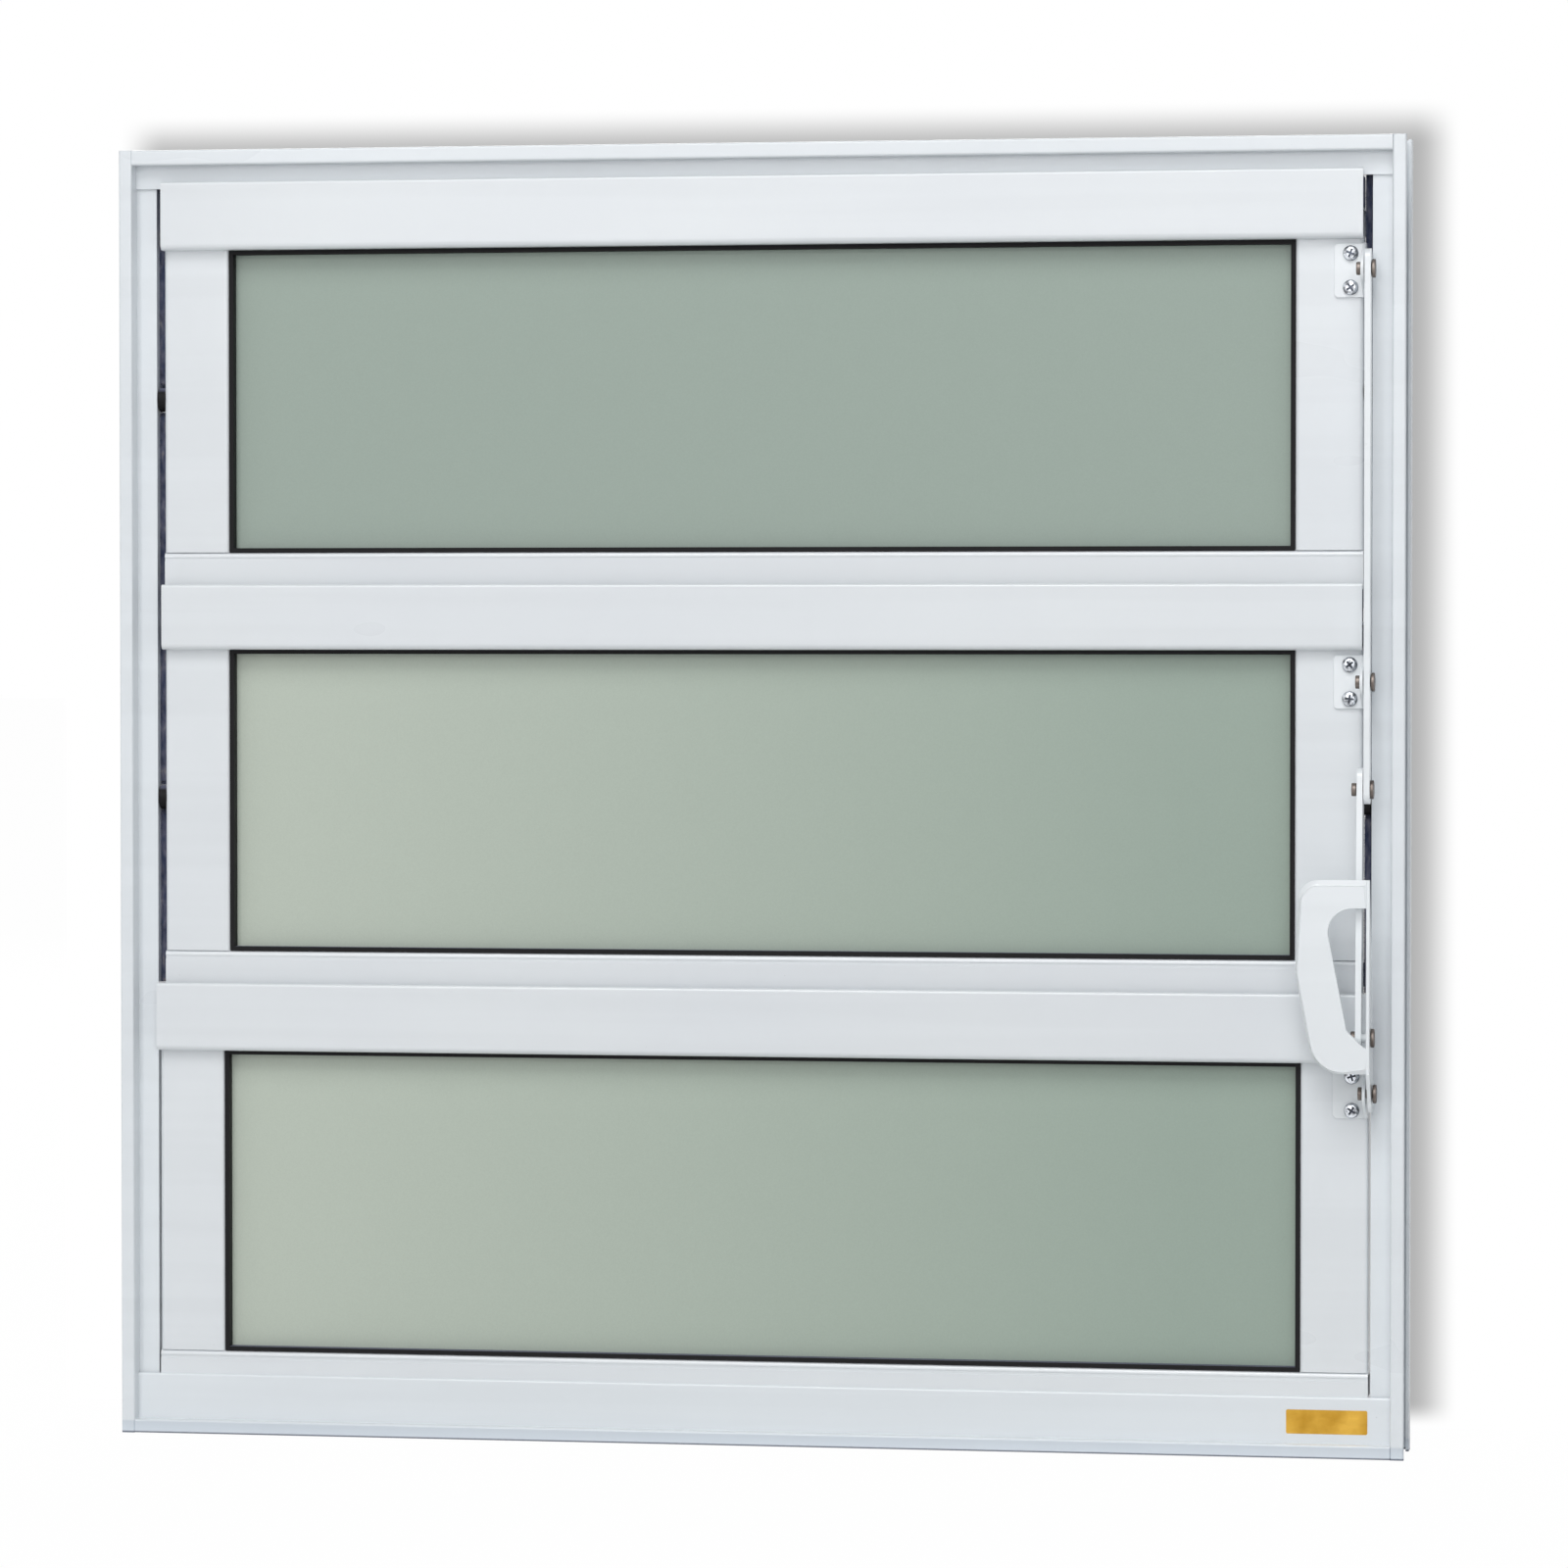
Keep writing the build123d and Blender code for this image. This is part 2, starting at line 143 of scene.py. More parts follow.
def copyNode(node, name):
    # A merged copy of a CAD node's mesh, with its flat faces made whole again
    piece = bpy.data.objects.new(name, frame["nodes"][node].data.copy())
    bpy.context.scene.collection.objects.link(piece)
    piece.data.name = name
    makeActive(piece)
    bpy.ops.object.mode_set(mode="EDIT")
    bpy.ops.mesh.select_all(action="SELECT")
    bpy.ops.mesh.remove_doubles(threshold=1e-6)
    bpy.ops.mesh.customdata_custom_splitnormals_clear()
    bpy.ops.mesh.dissolve_limited(angle_limit=math.radians(1))
    bpy.ops.object.mode_set(mode="OBJECT")
    return piece


# Shader tools, which take a material or the world

def startMaterial(name):
    material = bpy.data.materials.new(name)
    material.use_nodes = True
    return material, material.node_tree.nodes["Principled BSDF"]


def setSockets(node, values):
    for entry, value in values.items():
        node.inputs[entry].default_value = value


def addNode(material, kind, **inputs):
    node = material.node_tree.nodes.new(kind)
    for key, value in inputs.items():
        if key in node.inputs:
            node.inputs[key].default_value = value
        else:
            setattr(node, key, value)
    return node


def wire(material, source, output, target, entry):
    material.node_tree.links.new(source.outputs[output], target.inputs[entry])


def objectPlace(material, scale=(1, 1, 1)):
    place = addNode(material, "ShaderNodeTexCoord")
    mapping = addNode(material, "ShaderNodeMapping", Scale=scale)
    wire(material, place, "Object", mapping, "Vector")
    return mapping


def placeParts(material):
    split = addNode(material, "ShaderNodeSeparateXYZ")
    wire(material, objectPlace(material), "Vector", split, "Vector")
    return split


def noiseAt(material, scale, detail, stretch=(1, 1, 1)):
    noise = addNode(material, "ShaderNodeTexNoise", Scale=scale, Detail=detail, Roughness=0.5)
    wire(material, objectPlace(material, stretch), "Vector", noise, "Vector")
    return noise


def ramp(material, source, output, stops):
    # A stop's colour is a tone from a picture, or one linear value for a grey
    node = addNode(material, "ShaderNodeValToRGB")
    while len(node.color_ramp.elements) < len(stops):
        node.color_ramp.elements.new(0.5)
    for element, (position, tone) in zip(node.color_ramp.elements, stops):
        element.position = position
        element.color = linear(*tone) if isinstance(tone, tuple) else grey(tone)
    wire(material, source, output, node, "Fac")
    return node


def noiseTones(material, scale, detail, stops, stretch=(1, 1, 1)):
    return ramp(material, noiseAt(material, scale, detail, stretch), "Fac", stops)


def mapRange(material, source, output, ends, values=(0, 1), **settings):
    # Goes from the first value to the second while the source goes from one end to the other
    node = addNode(material, "ShaderNodeMapRange", **settings)
    setSockets(node, dict(zip(("From Min", "From Max", "To Min", "To Max"), (*ends, *values))))
    wire(material, source, output, node, "Value")
    return node


def joinMath(material, operation, sourceA, outputA, sourceB, outputB):
    node = addNode(material, "ShaderNodeMath", operation=operation)
    wire(material, sourceA, outputA, node, 0)
    wire(material, sourceB, outputB, node, 1)
    return node


def colourOutput(node):
    return 2 if node.bl_idname == "ShaderNodeMix" else 0


def mixColours(material, factor, colourA, colourB, blend="MIX"):
    # Each of the factor and the two colours is a node or a fixed value
    mix = addNode(material, "ShaderNodeMix", data_type="RGBA", blend_type=blend)
    for slot, entry in ((0, factor), (6, colourA), (7, colourB)):
        if isinstance(entry, (float, tuple)):
            mix.inputs[slot].default_value = entry
        else:
            wire(material, entry, colourOutput(entry), mix, slot)
    return mix


def multiplyColours(material, colourA, colourB):
    return mixColours(material, 1.0, colourA, colourB, "MULTIPLY")


def setBase(material, shader, colour):
    wire(material, colour, colourOutput(colour), shader, "Base Color")


def addBump(material, shader, height, strength, distance):
    bump = addNode(material, "ShaderNodeBump", Strength=strength, Distance=distance)
    wire(material, height, "Fac", bump, "Height")
    wire(material, bump, "Normal", shader, "Normal")


def seenRays(material):
    # One for the rays that come from the camera or from a gloss
    path = addNode(material, "ShaderNodeLightPath")
    return path, joinMath(material, "MAXIMUM", path, "Is Camera Ray", path, "Is Glossy Ray")


def blendShaders(material, share, first, second):
    # The surface goes from the first shader to the second as the share rises to one
    blend = addNode(material, "ShaderNodeMixShader")
    for entry, source in enumerate((share, first, second)):
        wire(material, source, 0, blend, entry)
    wire(material, blend, 0, material.node_tree.nodes["Material Output"], "Surface")


# Camera at the photograph's viewpoint, found from the corners of the frame

cameraView = {"place": (0.5016, -2.8570, 0.3769), "yaw": -9.731, "pitch": -1.42,
              "focalPixels": 6391.5, "picturePixels": 1600, "sensor": 36}

bpy.ops.object.camera_add(location=cameraView["place"])
camera = bpy.context.object
camera.rotation_euler = (math.radians(90 + cameraView["pitch"]), 0, math.radians(-cameraView["yaw"]))
camera.data.sensor_width = cameraView["sensor"]
camera.data.lens = cameraView["focalPixels"] / cameraView["picturePixels"] * cameraView["sensor"]
bpy.context.scene.camera = camera


# Light and floor

studio = {"worldDiffuse": 0.2, "skyTint": (0.95, 0.98, 1.02, 1), "aim": (0, 0, 0.3),
          "keyPower": 280, "keyPlace": (-0.6, -6.6, 7.6), "keySize": 3.8,
          "fillPower": 158, "fillPlace": (0.3, -6, 2.9), "fillSize": 4.8,
          "backPower": 90, "backPlace": (-0.5, 3.6, 2.4), "backSize": 3,
          "floorSize": 60, "floorWhite": 0.9, "floorRoughness": 0.9, "floorGlow": 0.985}

bpy.context.scene.view_settings.view_transform = "Standard"


def makeWorld():
    # Weak tinted light on the object, and plain white for what the camera, gloss and glass see
    world = bpy.data.worlds.new("studioWorld")
    bpy.context.scene.world = world
    world.use_nodes = True
    background = world.node_tree.nodes["Background"]
    path, seen = seenRays(world)
    through = joinMath(world, "MAXIMUM", seen, 0, path, "Is Transmission Ray")
    tint = mixColours(world, through, studio["skyTint"], grey(1))
    wire(world, tint, colourOutput(tint), background, "Color")
    strength = mapRange(world, through, 0, (0, 1), (studio["worldDiffuse"], 1))
    wire(world, strength, "Result", background, "Strength")


def addSoftbox(name, place, size, power):
    bpy.ops.object.light_add(type="AREA", location=place)
    lamp = bpy.context.object
    lamp.name = name
    lamp.data.size = size
    lamp.data.energy = power
    aim = Vector(studio["aim"]) - Vector(place)
    lamp.rotation_euler = aim.to_track_quat("-Z", "Y").to_euler()


def makeFloor():
    clearSelection()
    bpy.ops.mesh.primitive_plane_add(size=studio["floorSize"], location=(0, 0, 0))
    floor = namePiece("floor")
    material, shader = startMaterial("floorWhite")
    setSockets(shader, {"Base Color": grey(studio["floorWhite"]), "Roughness": studio["floorRoughness"]})
    seen = seenRays(material)[1]
    share = addNode(material, "ShaderNodeMath", operation="MULTIPLY")
    share.inputs[1].default_value = studio["floorGlow"]
    wire(material, seen, 0, share, 0)
    glow = addNode(material, "ShaderNodeEmission", Strength=1.0)
    blendShaders(material, share, shader, glow)
    floor.data.materials.append(material)


# A white backdrop close behind the window, with the soft shadow that the photograph has on it

backdrop = {"y": 0.095, "left": -0.36, "right": 0.4, "bottom": 0.0005, "top": 0.68,
            "shadeLeft": -0.3209, "shadeRight": 0.306, "shadeBottom": 0.0068, "shadeTop": 0.6146,
            "soft": 0.0117, "softBottom": 0.0062, "light": 255, "dark": 180, "steps": 5}


def softEdge(material, split, axis, side, outward, soft):
    # One on the shadow's side of an edge and nothing beyond it
    place = backdrop[side]
    reach = outward * backdrop[soft]
    return mapRange(material, split, axis, (place + reach, place - reach), interpolation_type="SMOOTHSTEP")


def makeBackdrop():
    clearSelection()
    bpy.ops.mesh.primitive_plane_add(size=1, rotation=(math.pi / 2, 0, 0))
    plane = namePiece("backdrop")
    plane.scale = (backdrop["right"] - backdrop["left"], backdrop["top"] - backdrop["bottom"], 1)
    plane.location = ((backdrop["right"] + backdrop["left"]) / 2, backdrop["y"],
                      (backdrop["top"] + backdrop["bottom"]) / 2)
    settle(plane)
    material, shader = startMaterial("backdropWhite")
    split = placeParts(material)
    shade = softEdge(material, split, "X", "shadeLeft", -1, "soft")
    for place in (("X", "shadeRight", 1, "soft"), ("Z", "shadeBottom", -1, "softBottom"),
                  ("Z", "shadeTop", 1, "soft")):
        edge = softEdge(material, split, *place)
        shade = joinMath(material, "MULTIPLY", shade, 0, edge, "Result")
    stops = []
    for step in range(backdrop["steps"] + 1):
        share = step / backdrop["steps"]
        tone = backdrop["light"] + (backdrop["dark"] - backdrop["light"]) * share
        stops.append((share, (tone, tone, tone)))
    colour = ramp(material, shade, 0, stops)
    glow = addNode(material, "ShaderNodeEmission", Strength=1.0)
    wire(material, colour, "Color", glow, "Color")
    clear = addNode(material, "ShaderNodeBsdfTransparent")
    # Only the camera sees it, and only from in front
    path = addNode(material, "ShaderNodeLightPath")
    side = addNode(material, "ShaderNodeNewGeometry")
    front = joinMath(material, "SUBTRACT", path, "Is Camera Ray", side, "Backfacing")
    blendShaders(material, front, clear, glow)
    material.node_tree.nodes.remove(shader)
    plane.data.materials.append(material)


makeWorld()
for word in ("key", "fill", "back"):
    addSoftbox(word + "Light", studio[word + "Place"], studio[word + "Size"], studio[word + "Power"])
makeFloor()
makeBackdrop()
print("camera, lights, floor and backdrop are up")


# Finishes, with tones from 0 to 255 and other colours and greys linear

paint = {"frame": {"tone": (229, 234, 238), "shade": (227, 232, 236)},
         "sash": {"tone": (228, 232, 235), "shade": (225, 229, 233)},
         "hardware": {"tone": (238, 242, 245), "shade": (235, 239, 242)},
         "cloud": 7, "streaks": 5, "streakStretch": (0.4, 1, 14), "streakTone": 0.975,
         "dirt": (176, 180, 184), "specks": 55, "speckSize": (0.012, 0.02), "patches": 11,
         "lowTop": 0.0066, "lowShadeTones": ((0.08, (112, 118, 134)), (0.16, (244, 248, 253)),
                                        (0.8, (232, 236, 241)), (0.95, 1)),
         "wear": 9, "roughness": (0.27, 0.33), "peelScale": 700, "peel": 0.05, "peelDepth": 0.0002,
         "outer": 0.2998, "outerFade": 0.0003, "coat": (0.6, 0), "coatRoughness": 0.12,
         "specular": (0.5, 0.05)}


def makePaint(part):
    material, shader = startMaterial(part + "Paint")
    tones = [(0.35, paint[part]["shade"]), (0.65, paint[part]["tone"])]
    base = noiseTones(material, paint["cloud"], 4, tones)
    film = noiseTones(material, paint["streaks"], 3, [(0.42, paint["streakTone"]), (0.58, 1)],
                      paint["streakStretch"])
    base = multiplyColours(material, base, film)
    # A few specks of dirt, in patches
    specks = addNode(material, "ShaderNodeTexVoronoi", Scale=paint["specks"])
    wire(material, objectPlace(material), "Vector", specks, "Vector")
    speckFull, speckEnd = paint["speckSize"]
    dots = ramp(material, specks, "Distance", [(speckFull, 1), (speckEnd, 0)])
    where = noiseTones(material, paint["patches"], 2, [(0.56, 0), (0.62, 1)])
    dirty = mixColours(material, multiplyColours(material, dots, where), base, linear(*paint["dirt"]))
    # Painted shade: the lowest few millimetres of the frame are made darker, with a dark bluish line at the
    # bottom, as in the floor's shade
    split = placeParts(material)
    height = mapRange(material, split, "Z", (0, paint["lowTop"]))
    floorShade = ramp(material, height, "Result", paint["lowShadeTones"])
    setBase(material, shader, multiplyColours(material, dirty, floorShade))
    smoothest, roughest = paint["roughness"]
    gloss = noiseTones(material, paint["wear"], 2, [(0.3, smoothest), (0.7, roughest)], (1, 1, 3))
    wire(material, gloss, "Color", shader, "Roughness")
    addBump(material, shader, noiseAt(material, paint["peelScale"], 2), paint["peel"], paint["peelDepth"])
    # The outer sides, which go into the wall, have no gloss
    outward = addNode(material, "ShaderNodeMath", operation="ABSOLUTE")
    wire(material, split, "X", outward, 0)
    for socket, values in (("Coat Weight", paint["coat"]), ("Specular IOR Level", paint["specular"])):
        fade = mapRange(material, outward, 0, (paint["outer"] - paint["outerFade"], paint["outer"]), values)
        wire(material, fade, "Result", shader, socket)
    setSockets(shader, {"Coat Roughness": paint["coatRoughness"]})
    return material


# The left, right and top tones carry painted light and shade across the panes
glass = {"left": (192, 201, 188), "right": (155, 171, 159), "across": (-0.26, 0.2),
         "top": (153, 168, 158), "topShadeShare": 0.9, "upward": (0.37, 0.42), "grain": 1800,
         "speckle": 0.94, "bump": 0.12, "bumpDepth": 0.0001, "roughness": 0.42, "specular": 0.5}


def makeGlass():
    # Painted light, lighter at the left, and painted shade, darker in the top sash
    material, shader = startMaterial("satinGlass")
    split = placeParts(material)
    across = mapRange(material, split, "X", glass["across"])
    tint = ramp(material, across, "Result", [(0, glass["left"]), (1, glass["right"])])
    upward = mapRange(material, split, "Z", glass["upward"])
    share = ramp(material, upward, "Result", [(0, 0), (1, glass["topShadeShare"])])
    paintedLightPanes = mixColours(material, share, tint, linear(*glass["top"]))
    grain = noiseAt(material, glass["grain"], 3)
    speckle = ramp(material, grain, "Fac", [(0.3, glass["speckle"]), (0.7, 1)])
    setBase(material, shader, multiplyColours(material, paintedLightPanes, speckle))
    setSockets(shader, {"Roughness": glass["roughness"], "Specular IOR Level": glass["specular"]})
    addBump(material, shader, grain, glass["bump"], glass["bumpDepth"])
    return material


rubber = {"dark": (6, 6, 8), "light": (14, 13, 16), "cloud": 60, "paintedTopLight": (96, 98, 116),
          "paintedTopLightFrom": 0.6, "paintedTopLightFull": 0.85, "grain": 1500, "bump": 0.1, "bumpDepth": 0.0001,
          "roughness": 0.62, "specular": 0.22}


def makeRubber():
    # Black, with painted light on the faces that look up, as if lit from above
    material, shader = startMaterial("blackRubber")
    base = noiseTones(material, rubber["cloud"], 3, [(0.3, rubber["dark"]), (0.7, rubber["light"])])
    side = addNode(material, "ShaderNodeNewGeometry")
    split = addNode(material, "ShaderNodeSeparateXYZ")
    wire(material, side, "Normal", split, "Vector")
    upward = ramp(material, split, "Z", [(rubber["paintedTopLightFrom"], 0), (rubber["paintedTopLightFull"], 1)])
    setBase(material, shader, mixColours(material, upward, base, linear(*rubber["paintedTopLight"])))
    setSockets(shader, {"Roughness": rubber["roughness"], "Specular IOR Level": rubber["specular"]})
    addBump(material, shader, noiseAt(material, rubber["grain"], 2), rubber["bump"], rubber["bumpDepth"])
    return material


pile = {"fibres": 420, "stretch": (1, 1, 0.35), "roughness": 0.95, "bump": 0.6, "bumpDepth": 0.0005,
        "tones": ((0.35, (50, 58, 84)), (0.6, (92, 94, 112)), (0.78, (158, 150, 146)))}


def makePile():
    material, shader = startMaterial("sealPile")
    fibres = noiseAt(material, pile["fibres"], 4, pile["stretch"])
    setBase(material, shader, ramp(material, fibres, "Fac", pile["tones"]))
    setSockets(shader, {"Roughness": pile["roughness"]})
    addBump(material, shader, fibres, pile["bump"], pile["bumpDepth"])
    return material


rivetSteel = {"dark": (96, 88, 84), "light": (130, 122, 116), "cloud": 300, "roughness": 0.42,
              "grain": 900, "bump": 0.08, "bumpDepth": 0.0001}


def makeRivetSteel():
    material, shader = startMaterial("rivetSteel")
    tones = [(0.3, rivetSteel["dark"]), (0.7, rivetSteel["light"])]
    setBase(material, shader, noiseTones(material, rivetSteel["cloud"], 3, tones))
    setSockets(shader, {"Metallic": 1, "Roughness": rivetSteel["roughness"]})
    fine = noiseAt(material, rivetSteel["grain"], 2)
    addBump(material, shader, fine, rivetSteel["bump"], rivetSteel["bumpDepth"])
    return material


screwMetal = {"tones": ((0, (70, 74, 82)), (0.5, (120, 125, 134)), (1, (206, 210, 216))),
              "patches": 520, "reflectionTones": ((0.36, 0.3), (0.62, 1.25)), "roughness": 0.22}


def makeScrewMetal():
    # Polished metal with painted shade in its recess and on its rim, told by the mesh's own attribute, and
    # patches of painted reflection
    material, shader = startMaterial("screwMetal")
    own = addNode(material, "ShaderNodeAttribute", attribute_name="shade")
    tone = ramp(material, own, "Fac", screwMetal["tones"])
    # Painted reflection: patches of lighter and darker metal, as reflections on the polished head
    patches = noiseTones(material, screwMetal["patches"], 2, screwMetal["reflectionTones"])
    setBase(material, shader, multiplyColours(material, tone, patches))
    setSockets(shader, {"Metallic": 1, "Roughness": screwMetal["roughness"]})
    return material


foil = {"dark": (178, 134, 42), "light": (210, 166, 70), "cloud": 90, "metallic": 0.85, "roughness": 0.34,
        "crease": 160, "creaseStretch": (1, 1, 2), "bump": 0.25, "bumpDepth": 0.0004}


def makeFoil():
    material, shader = startMaterial("goldFoil")
    tones = [(0.3, foil["dark"]), (0.7, foil["light"])]
    setBase(material, shader, noiseTones(material, foil["cloud"], 3, tones))
    setSockets(shader, {"Metallic": foil["metallic"], "Roughness": foil["roughness"]})
    crease = noiseAt(material, foil["crease"], 3, foil["creaseStretch"])
    addBump(material, shader, crease, foil["bump"], foil["bumpDepth"])
    return material


finishes = {
    "white_frame": makePaint("frame"),
    "white_sash": makePaint("sash"),
    "white_hardware": makePaint("hardware"),
    "gasket": makeRubber(),
    "satin_glass": makeGlass(),
    "bush": makeRubber(),
    "pile": makePile(),
    "rivet": makeRivetSteel(),
    "goldFoil": makeFoil(),
    "chrome": makeScrewMetal(),
}


def dress(piece, finish):
    piece.data.materials.clear()
    piece.data.materials.append(finishes[finish])


for node, obj in frame["nodes"].items():
    dress(obj, slotOf[node])
print("finishes are on the frame's nodes")


# Pieces that stand for CAD nodes, with the small roundings that catch the light.
# A rounding's width and segments stand before the nodes that get it.

soften = {"fromAngle": 28, "smoothAngle": 35, "flatArea": 15, "tailGap": 0.1,
          "widths": {(0.5, 3): ("lever", "upper_link", "lower_link"),
                     (0.35, 2): tuple(sash + "_bracket" for sash in sashes),
                     (0.3, 2): (*(sash + "_rivet" for sash in sashes),
                                "upper_link_rivet", "lower_link_rivet", "lever_rivet")}}

rim = {"inset": 0.3, "sink": 0.35, "faceNear": 0.2, "width": 2.4, "widthNear": 0.15, "depth": 1.5,
       "near": 0.02, "narrowed": 0.62, "full": 4, "gone": 12, "last": 282.5, "footX": 284.4,
       "footRise": 198.117, "footRadius": 9.8, "footNear": 0.3, "footDepth": 3, "footFilled": 2.4}


def narrowRim(piece):
    # The rim is broad along the grip's top only, and its inner corner at the foot is rounder than the CAD's
    points = [vertex.co for vertex in piece.data.vertices]
    front = min(point.y for point in points)
    top = max(point.z for point in points if point.y < front + mm)
    rimBack = front + rim["depth"] * mm
    outer = [point.copy() for point in points if abs(point.y - rimBack) < rim["near"] * mm]
    for point in points:
        arm = Vector((point.x - rim["footX"] * mm, 0, point.z - rim["footRise"] * mm))
        onArc = abs(arm.length - rim["footRadius"] * mm) < rim["footNear"] * mm and arm.x < 0 and arm.z < 0
        if onArc and point.y < front + rim["footDepth"] * mm:
            share = 2 * abs(arm.x * arm.z) / arm.length_squared
            point -= arm.normalized() * share * rim["footFilled"] * mm
        elif point.y < front + rim["near"] * mm and point.x < rim["last"] * mm:
            near = min(outer, key=lambda other: math.hypot(other.x - point.x, other.z - point.z))
            away = Vector((near.x - point.x, 0, near.z - point.z))
            if abs(away.length - rim["width"] * mm) < rim["widthNear"] * mm:
                share = (top - near.z - rim["full"] * mm) / ((rim["gone"] - rim["full"]) * mm)
                point += away * rim["narrowed"] * min(max(share, 0), 1)
    piece.data.update()


def sinkFace(piece):
    # Sets the grip's flat front face a little behind its rim
    front = min(vertex.co.y for vertex in piece.data.vertices)
    pickFaces(piece, lambda centre, normal: normal.y < -0.99 and centre.y < front + rim["faceNear"] * mm)
    bpy.ops.mesh.inset(thickness=rim["inset"] * mm, depth=-rim["sink"] * mm, use_even_offset=False)
    bpy.ops.object.mode_set(mode="OBJECT")


def paintHead(piece):
    # Only the rivet's tail is bare, the rest was painted with the bar
    piece.data.materials.append(finishes["white_hardware"])
    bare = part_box("lower_link")[0].x + soften["tailGap"] * mm
    for face in piece.data.polygons:
        face.material_index = 1 if face.center.x > bare else 0


def softenNode(node, width, segments):
    piece = copyNode(node, node + "_soft")
    if node == "lever":
        narrowRim(piece)
    applyModifier(piece, "BEVEL", width=width * mm, segments=segments, limit_method="ANGLE",
                  angle_limit=math.radians(soften["fromAngle"]), harden_normals=False)
    if node == "lever":
        sinkFace(piece)
    smoothByAngle(piece, soften["smoothAngle"])
    for face in piece.data.polygons:
        if face.area > soften["flatArea"] * mm * mm:
            face.use_smooth = False
    dress(piece, slotOf[node])
    if node == "lower_link_rivet":
        paintHead(piece)
    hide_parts(node)
    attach(piece, bodyOf[node])


for (width, segments), nodes in soften["widths"].items():
    for node in nodes:
        softenNode(node, width, segments)
print("hardware is softened")


# Screws, a pan head with a cross recess, modelled once facing the room

screw = {"radius": 3.5, "height": 2.1, "crown": 1.5, "slotLong": 4.1, "slotWide": 0.95, "slotDeep": 1.5,
         "edgeFrom": 0.94, "edgeShade": 0.55, "smoothAngle": 40, "apart": 15.5, "fromEar": 7.4,
         "fixedDrop": 0.8, "plate": 1.5, "turns": (0.35, -0.62, 0.9, 0.1, -0.28, 0.55)}


def makeScrew():
    clearSelection()
    bpy.ops.mesh.primitive_cylinder_add(vertices=48, radius=screw["radius"] * mm,
                                        depth=screw["height"] * mm, rotation=(math.pi / 2, 0, 0))
    head = namePiece("screwPattern")
    settle(head)
    pickFaces(head, lambda centre, normal: normal.y < -0.9)
    bpy.ops.mesh.bevel(offset=screw["crown"] * mm, segments=6, affect="EDGES")
    bpy.ops.object.mode_set(mode="OBJECT")
    for turn in (0, math.pi / 2):
        clearSelection()
        bpy.ops.mesh.primitive_cube_add(size=1, rotation=(0, turn, 0))
        cutter = namePiece("crossCutter")
        cutter.scale = (screw["slotLong"] * mm, 2 * screw["slotDeep"] * mm, screw["slotWide"] * mm)
        cutter.location.y = -screw["height"] / 2 * mm
        settle(cutter)
        applyModifier(head, "BOOLEAN", operation="DIFFERENCE", object=cutter)
        bpy.data.objects.remove(cutter)
    smoothByAngle(head, screw["smoothAngle"])
    shade = head.data.color_attributes.new("shade", "FLOAT_COLOR", "CORNER")
    # Painted shade: the rim is darker and the cross recess black
    for face in head.data.polygons:
        away = math.hypot(face.center.x, face.center.z) / mm
        tone = screw["edgeShade"] if away > screw["edgeFrom"] * screw["radius"] else 1.0
        if away < screw["slotLong"] / 2 and face.center.y > -0.49 * screw["height"] * mm:
            tone = 0.0  # behind the head's front, so in the recess
        for corner in face.loop_indices:
            shade.data[corner].color = grey(tone)
    return head


def placeScrew(pattern, name, place, turn, body):
    piece = copyPiece(pattern)
    piece.name = name
    piece.data.name = name
    piece.location = place
    piece.rotation_euler = (0, turn, 0)
    settle(piece)
    dress(piece, "chrome")
    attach(piece, body)


screwPattern = makeScrew()
turns = iter(screw["turns"])
for sash in sashes:
    bracket = sash + "_bracket"
    low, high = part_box(bracket)
    plateY = sashFace - screw["plate"] * mm
    drop = screw["fixedDrop"] * mm if bodyOf[bracket] == "frame" else 0
    for number, side in ((1, 1), (2, -1)):
        place = (high.x - screw["fromEar"] * mm, plateY - screw["height"] / 2 * mm,
                 (low.z + high.z) / 2 + side * screw["apart"] / 2 * mm - drop)
        placeScrew(screwPattern, f"{bracket}_screw_{number}", place, next(turns), bodyOf[bracket])
bpy.data.objects.remove(screwPattern)
print("screws are in")


# Blank gold label on the sill's upstand

label = {"width": 37, "height": 11, "thick": 0.12, "corner": 0.8,
         "fromRight": 29.1, "up": 16, "faceBack": 6.6}


def makeLabel():
    clearSelection()
    faceY = frontY + label["faceBack"] * mm
    bpy.ops.mesh.primitive_cube_add(size=1, location=(0, faceY - label["thick"] / 2 * mm, label["up"] * mm))
    piece = namePiece("sillLabel")
    piece.scale = (label["width"] * mm, label["thick"] * mm, label["height"] * mm)
    piece.location.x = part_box("sill")[1].x - label["fromRight"] * mm
    settle(piece)
    bpy.ops.object.mode_set(mode="EDIT")
    bpy.ops.mesh.select_mode(type="EDGE")
    bpy.ops.mesh.select_all(action="DESELECT")
    bpy.ops.object.mode_set(mode="OBJECT")
    for edge in piece.data.edges:
        ends = [piece.data.vertices[end].co for end in edge.vertices]
        edge.select = abs(ends[0].y - ends[1].y) > 0.5 * label["thick"] * mm
    bpy.ops.object.mode_set(mode="EDIT")
    bpy.ops.mesh.bevel(offset=label["corner"] * mm, segments=4, affect="EDGES")
    bpy.ops.object.mode_set(mode="OBJECT")
    dress(piece, "goldFoil")
    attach(piece, "frame")


makeLabel()
print("label is on")


# Felt pads that close the open ends behind the rails' lap flanges

pad = {"long": 4, "clear": 0.5, "skin": 1.7, "lapDrop": 17.5, "lapUp": 2.6, "topDrop": 18.4, "topBack": 8,
       "underHead": 0.6, "footLow": 1, "footHigh": 13.3, "footBack": 7, "round": 0.4, "smoothAngle": 40}


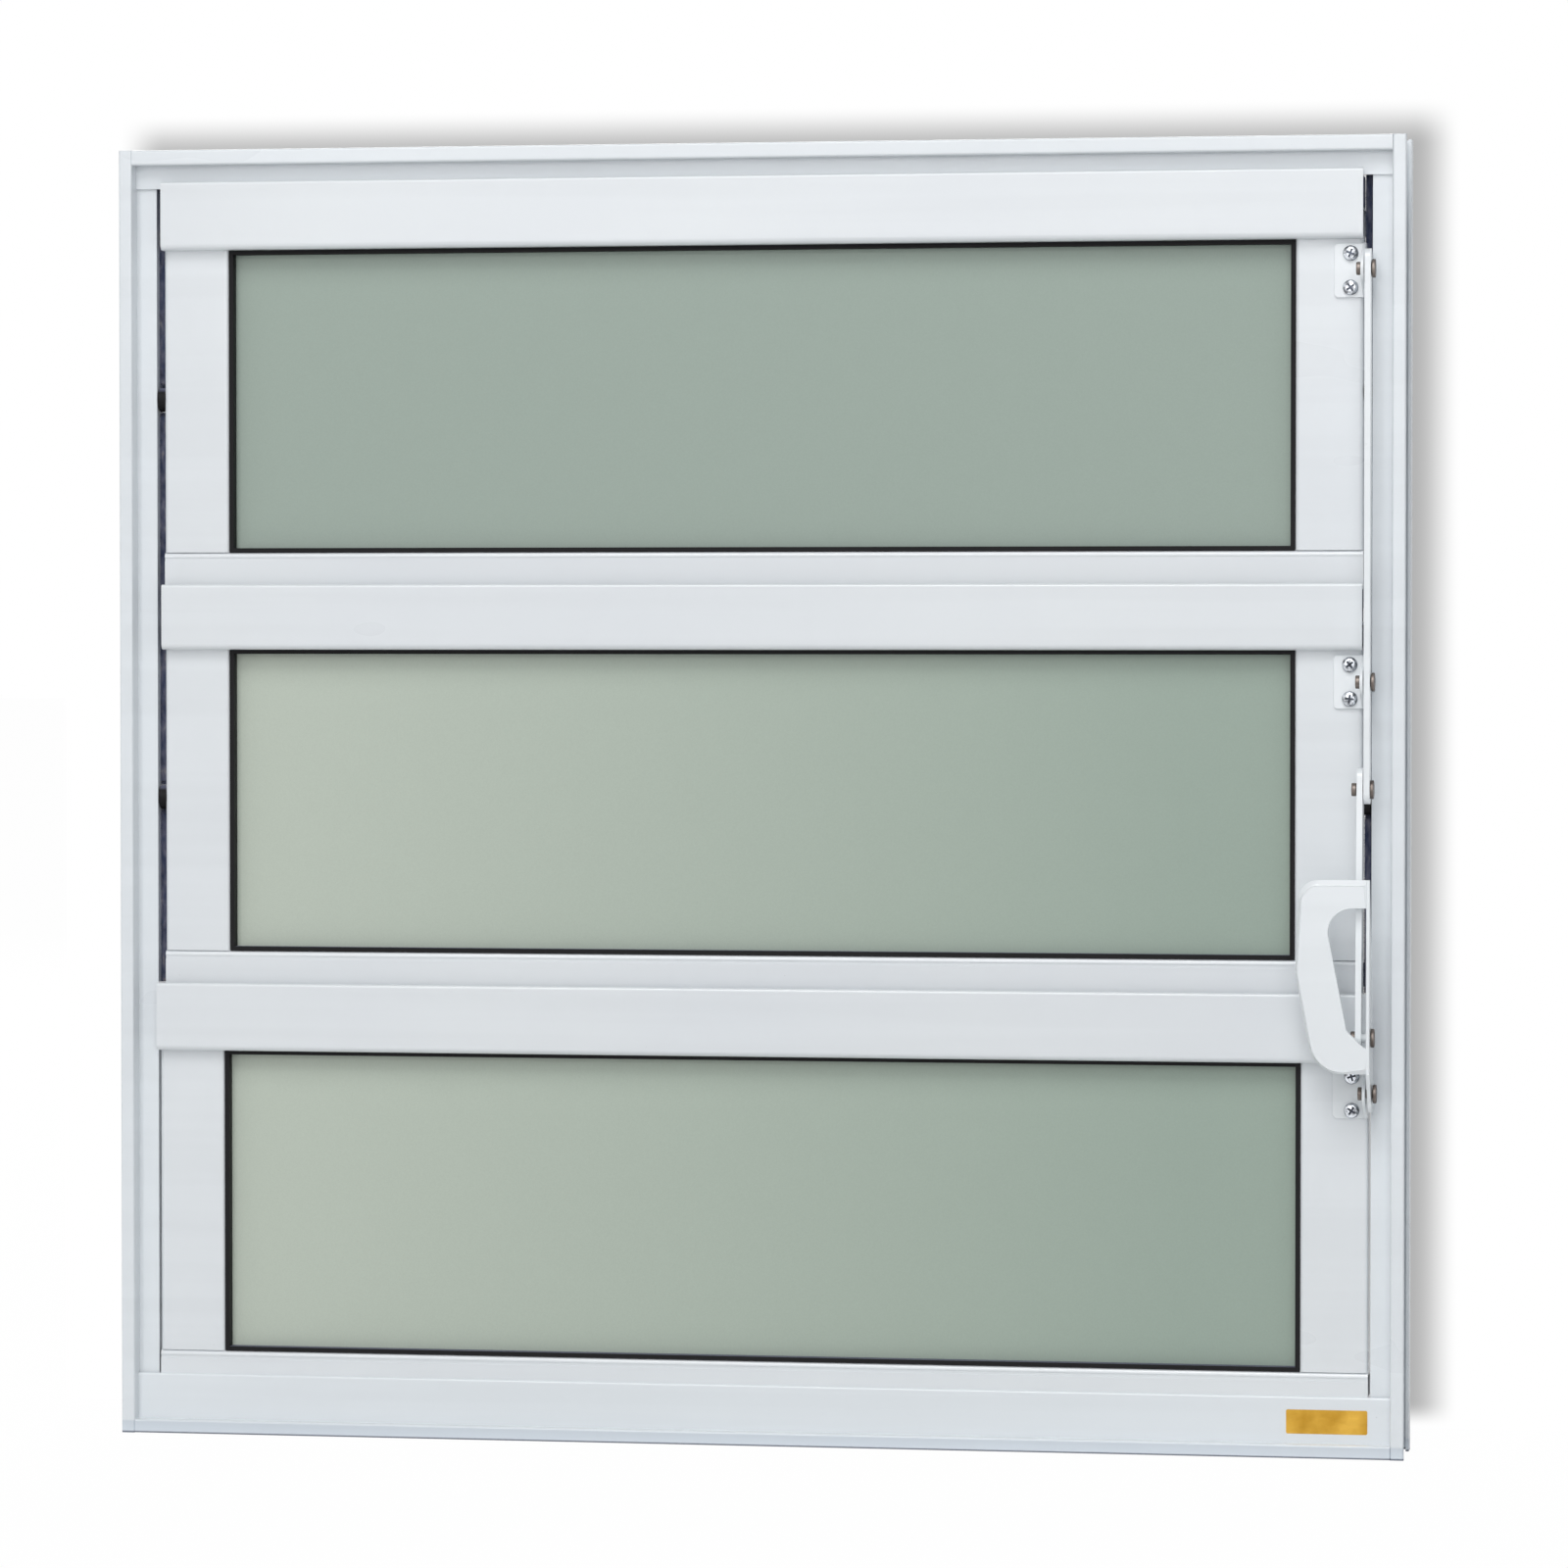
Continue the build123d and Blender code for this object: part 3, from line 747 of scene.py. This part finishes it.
def makePad(name, side, end, span, depth, body):
    clearSelection()
    low, high = span
    near, far = depth
    bpy.ops.mesh.primitive_cube_add(size=1, location=(side * (end - pad["long"] / 2 * mm), (near + far) / 2,
                                                      (low + high) / 2))
    piece = namePiece(name)
    piece.scale = (pad["long"] * mm, far - near, high - low)
    settle(piece)
    applyModifier(piece, "BEVEL", width=pad["round"] * mm, segments=2)
    smoothByAngle(piece, pad["smoothAngle"])
    dress(piece, "pile")
    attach(piece, body)


for sash in sashes:
    railLow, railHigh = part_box(sash + "_top_rail")
    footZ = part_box(sash + "_bottom_rail")[0].z
    body = bodyOf[sash + "_top_rail"]
    upper = (railHigh.z - pad["lapDrop"] * mm, railHigh.z - pad["lapUp"] * mm)
    back = sashFace - pad["clear"] * mm
    if sash == "top_sash":
        upper = (railHigh.z - pad["topDrop"] * mm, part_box("head")[0].z - pad["underHead"] * mm)
        back = sashFace + pad["topBack"] * mm
    upperDepth = (railLow.y + pad["skin"] * mm, back)
    lower = (footZ + pad["footLow"] * mm, footZ + pad["footHigh"] * mm)
    lowerDepth = (sashFace + pad["skin"] * mm, sashFace + pad["footBack"] * mm)
    for side, word in ((-1, "left"), (1, "right")):
        makePad(f"{sash}_{word}_lap_pad", side, railHigh.x, upper, upperDepth, body)
        if sash != "fixed_sash":
            makePad(f"{sash}_{word}_foot_pad", side, railHigh.x, lower, lowerDepth, body)
print("felt pads are in")


# Bristles of the brush seals, one cluster repeated along each seal

bristle = {"length": 4.2, "thick": 0.11, "tip": 0.3, "perCluster": 260, "cluster": 26, "lean": 0.5,
           "forward": (0, 0, 1), "fromFront": 1.2}


def makeFibre():
    clearSelection()
    bpy.ops.mesh.primitive_cone_add(vertices=3, radius1=bristle["thick"] * mm,
                                    radius2=bristle["tip"] * bristle["thick"] * mm,
                                    depth=bristle["length"] * mm, end_fill_type="NOTHING")
    return namePiece("fibrePattern")


def makeCluster(side, name):
    pattern = makeFibre()
    low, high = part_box("left_brush_seal" if side < 0 else "right_brush_seal")
    copies = []
    for number in range(bristle["perCluster"]):
        fibre = copyPiece(pattern)
        lean = random.uniform(-bristle["lean"], bristle["lean"])
        if random.choice(bristle["forward"]):
            # Reaches out towards the room
            fibre.rotation_euler = (math.pi / 2 * (1 + 0.25 * lean), lean, 0)
            spread = 1
        else:
            fibre.rotation_euler = (lean * 0.6, -side * (math.pi / 2 + 0.4 * lean), 0)
            spread = 0.1
        middle = (low.x + high.x) / 2 + random.uniform(-0.4, 0.4) * (high.x - low.x) * spread
        fibre.location = (middle, low.y + random.uniform(0, bristle["fromFront"]) * mm,
                          random.uniform(0, bristle["cluster"]) * mm)
        copies.append(fibre)
    bpy.data.objects.remove(pattern)
    clearSelection()
    for fibre in copies:
        fibre.select_set(True)
    bpy.context.view_layer.objects.active = copies[0]
    bpy.ops.object.join()
    cluster = namePiece(name)
    settle(cluster)
    return cluster


def makeBristles(side, seal):
    low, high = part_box(seal)
    cluster = makeCluster(side, seal + "_bristles")
    count = int((high.z - low.z) / (bristle["cluster"] * mm))
    cluster.location.z = low.z
    settle(cluster)
    applyModifier(cluster, "ARRAY", use_relative_offset=False, use_constant_offset=True,
                  constant_offset_displace=(0, 0, bristle["cluster"] * mm), count=count)
    dress(cluster, "pile")
    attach(cluster, "frame")


makeBristles(-1, "left_brush_seal")
makeBristles(1, "right_brush_seal")
print("bristles are in")
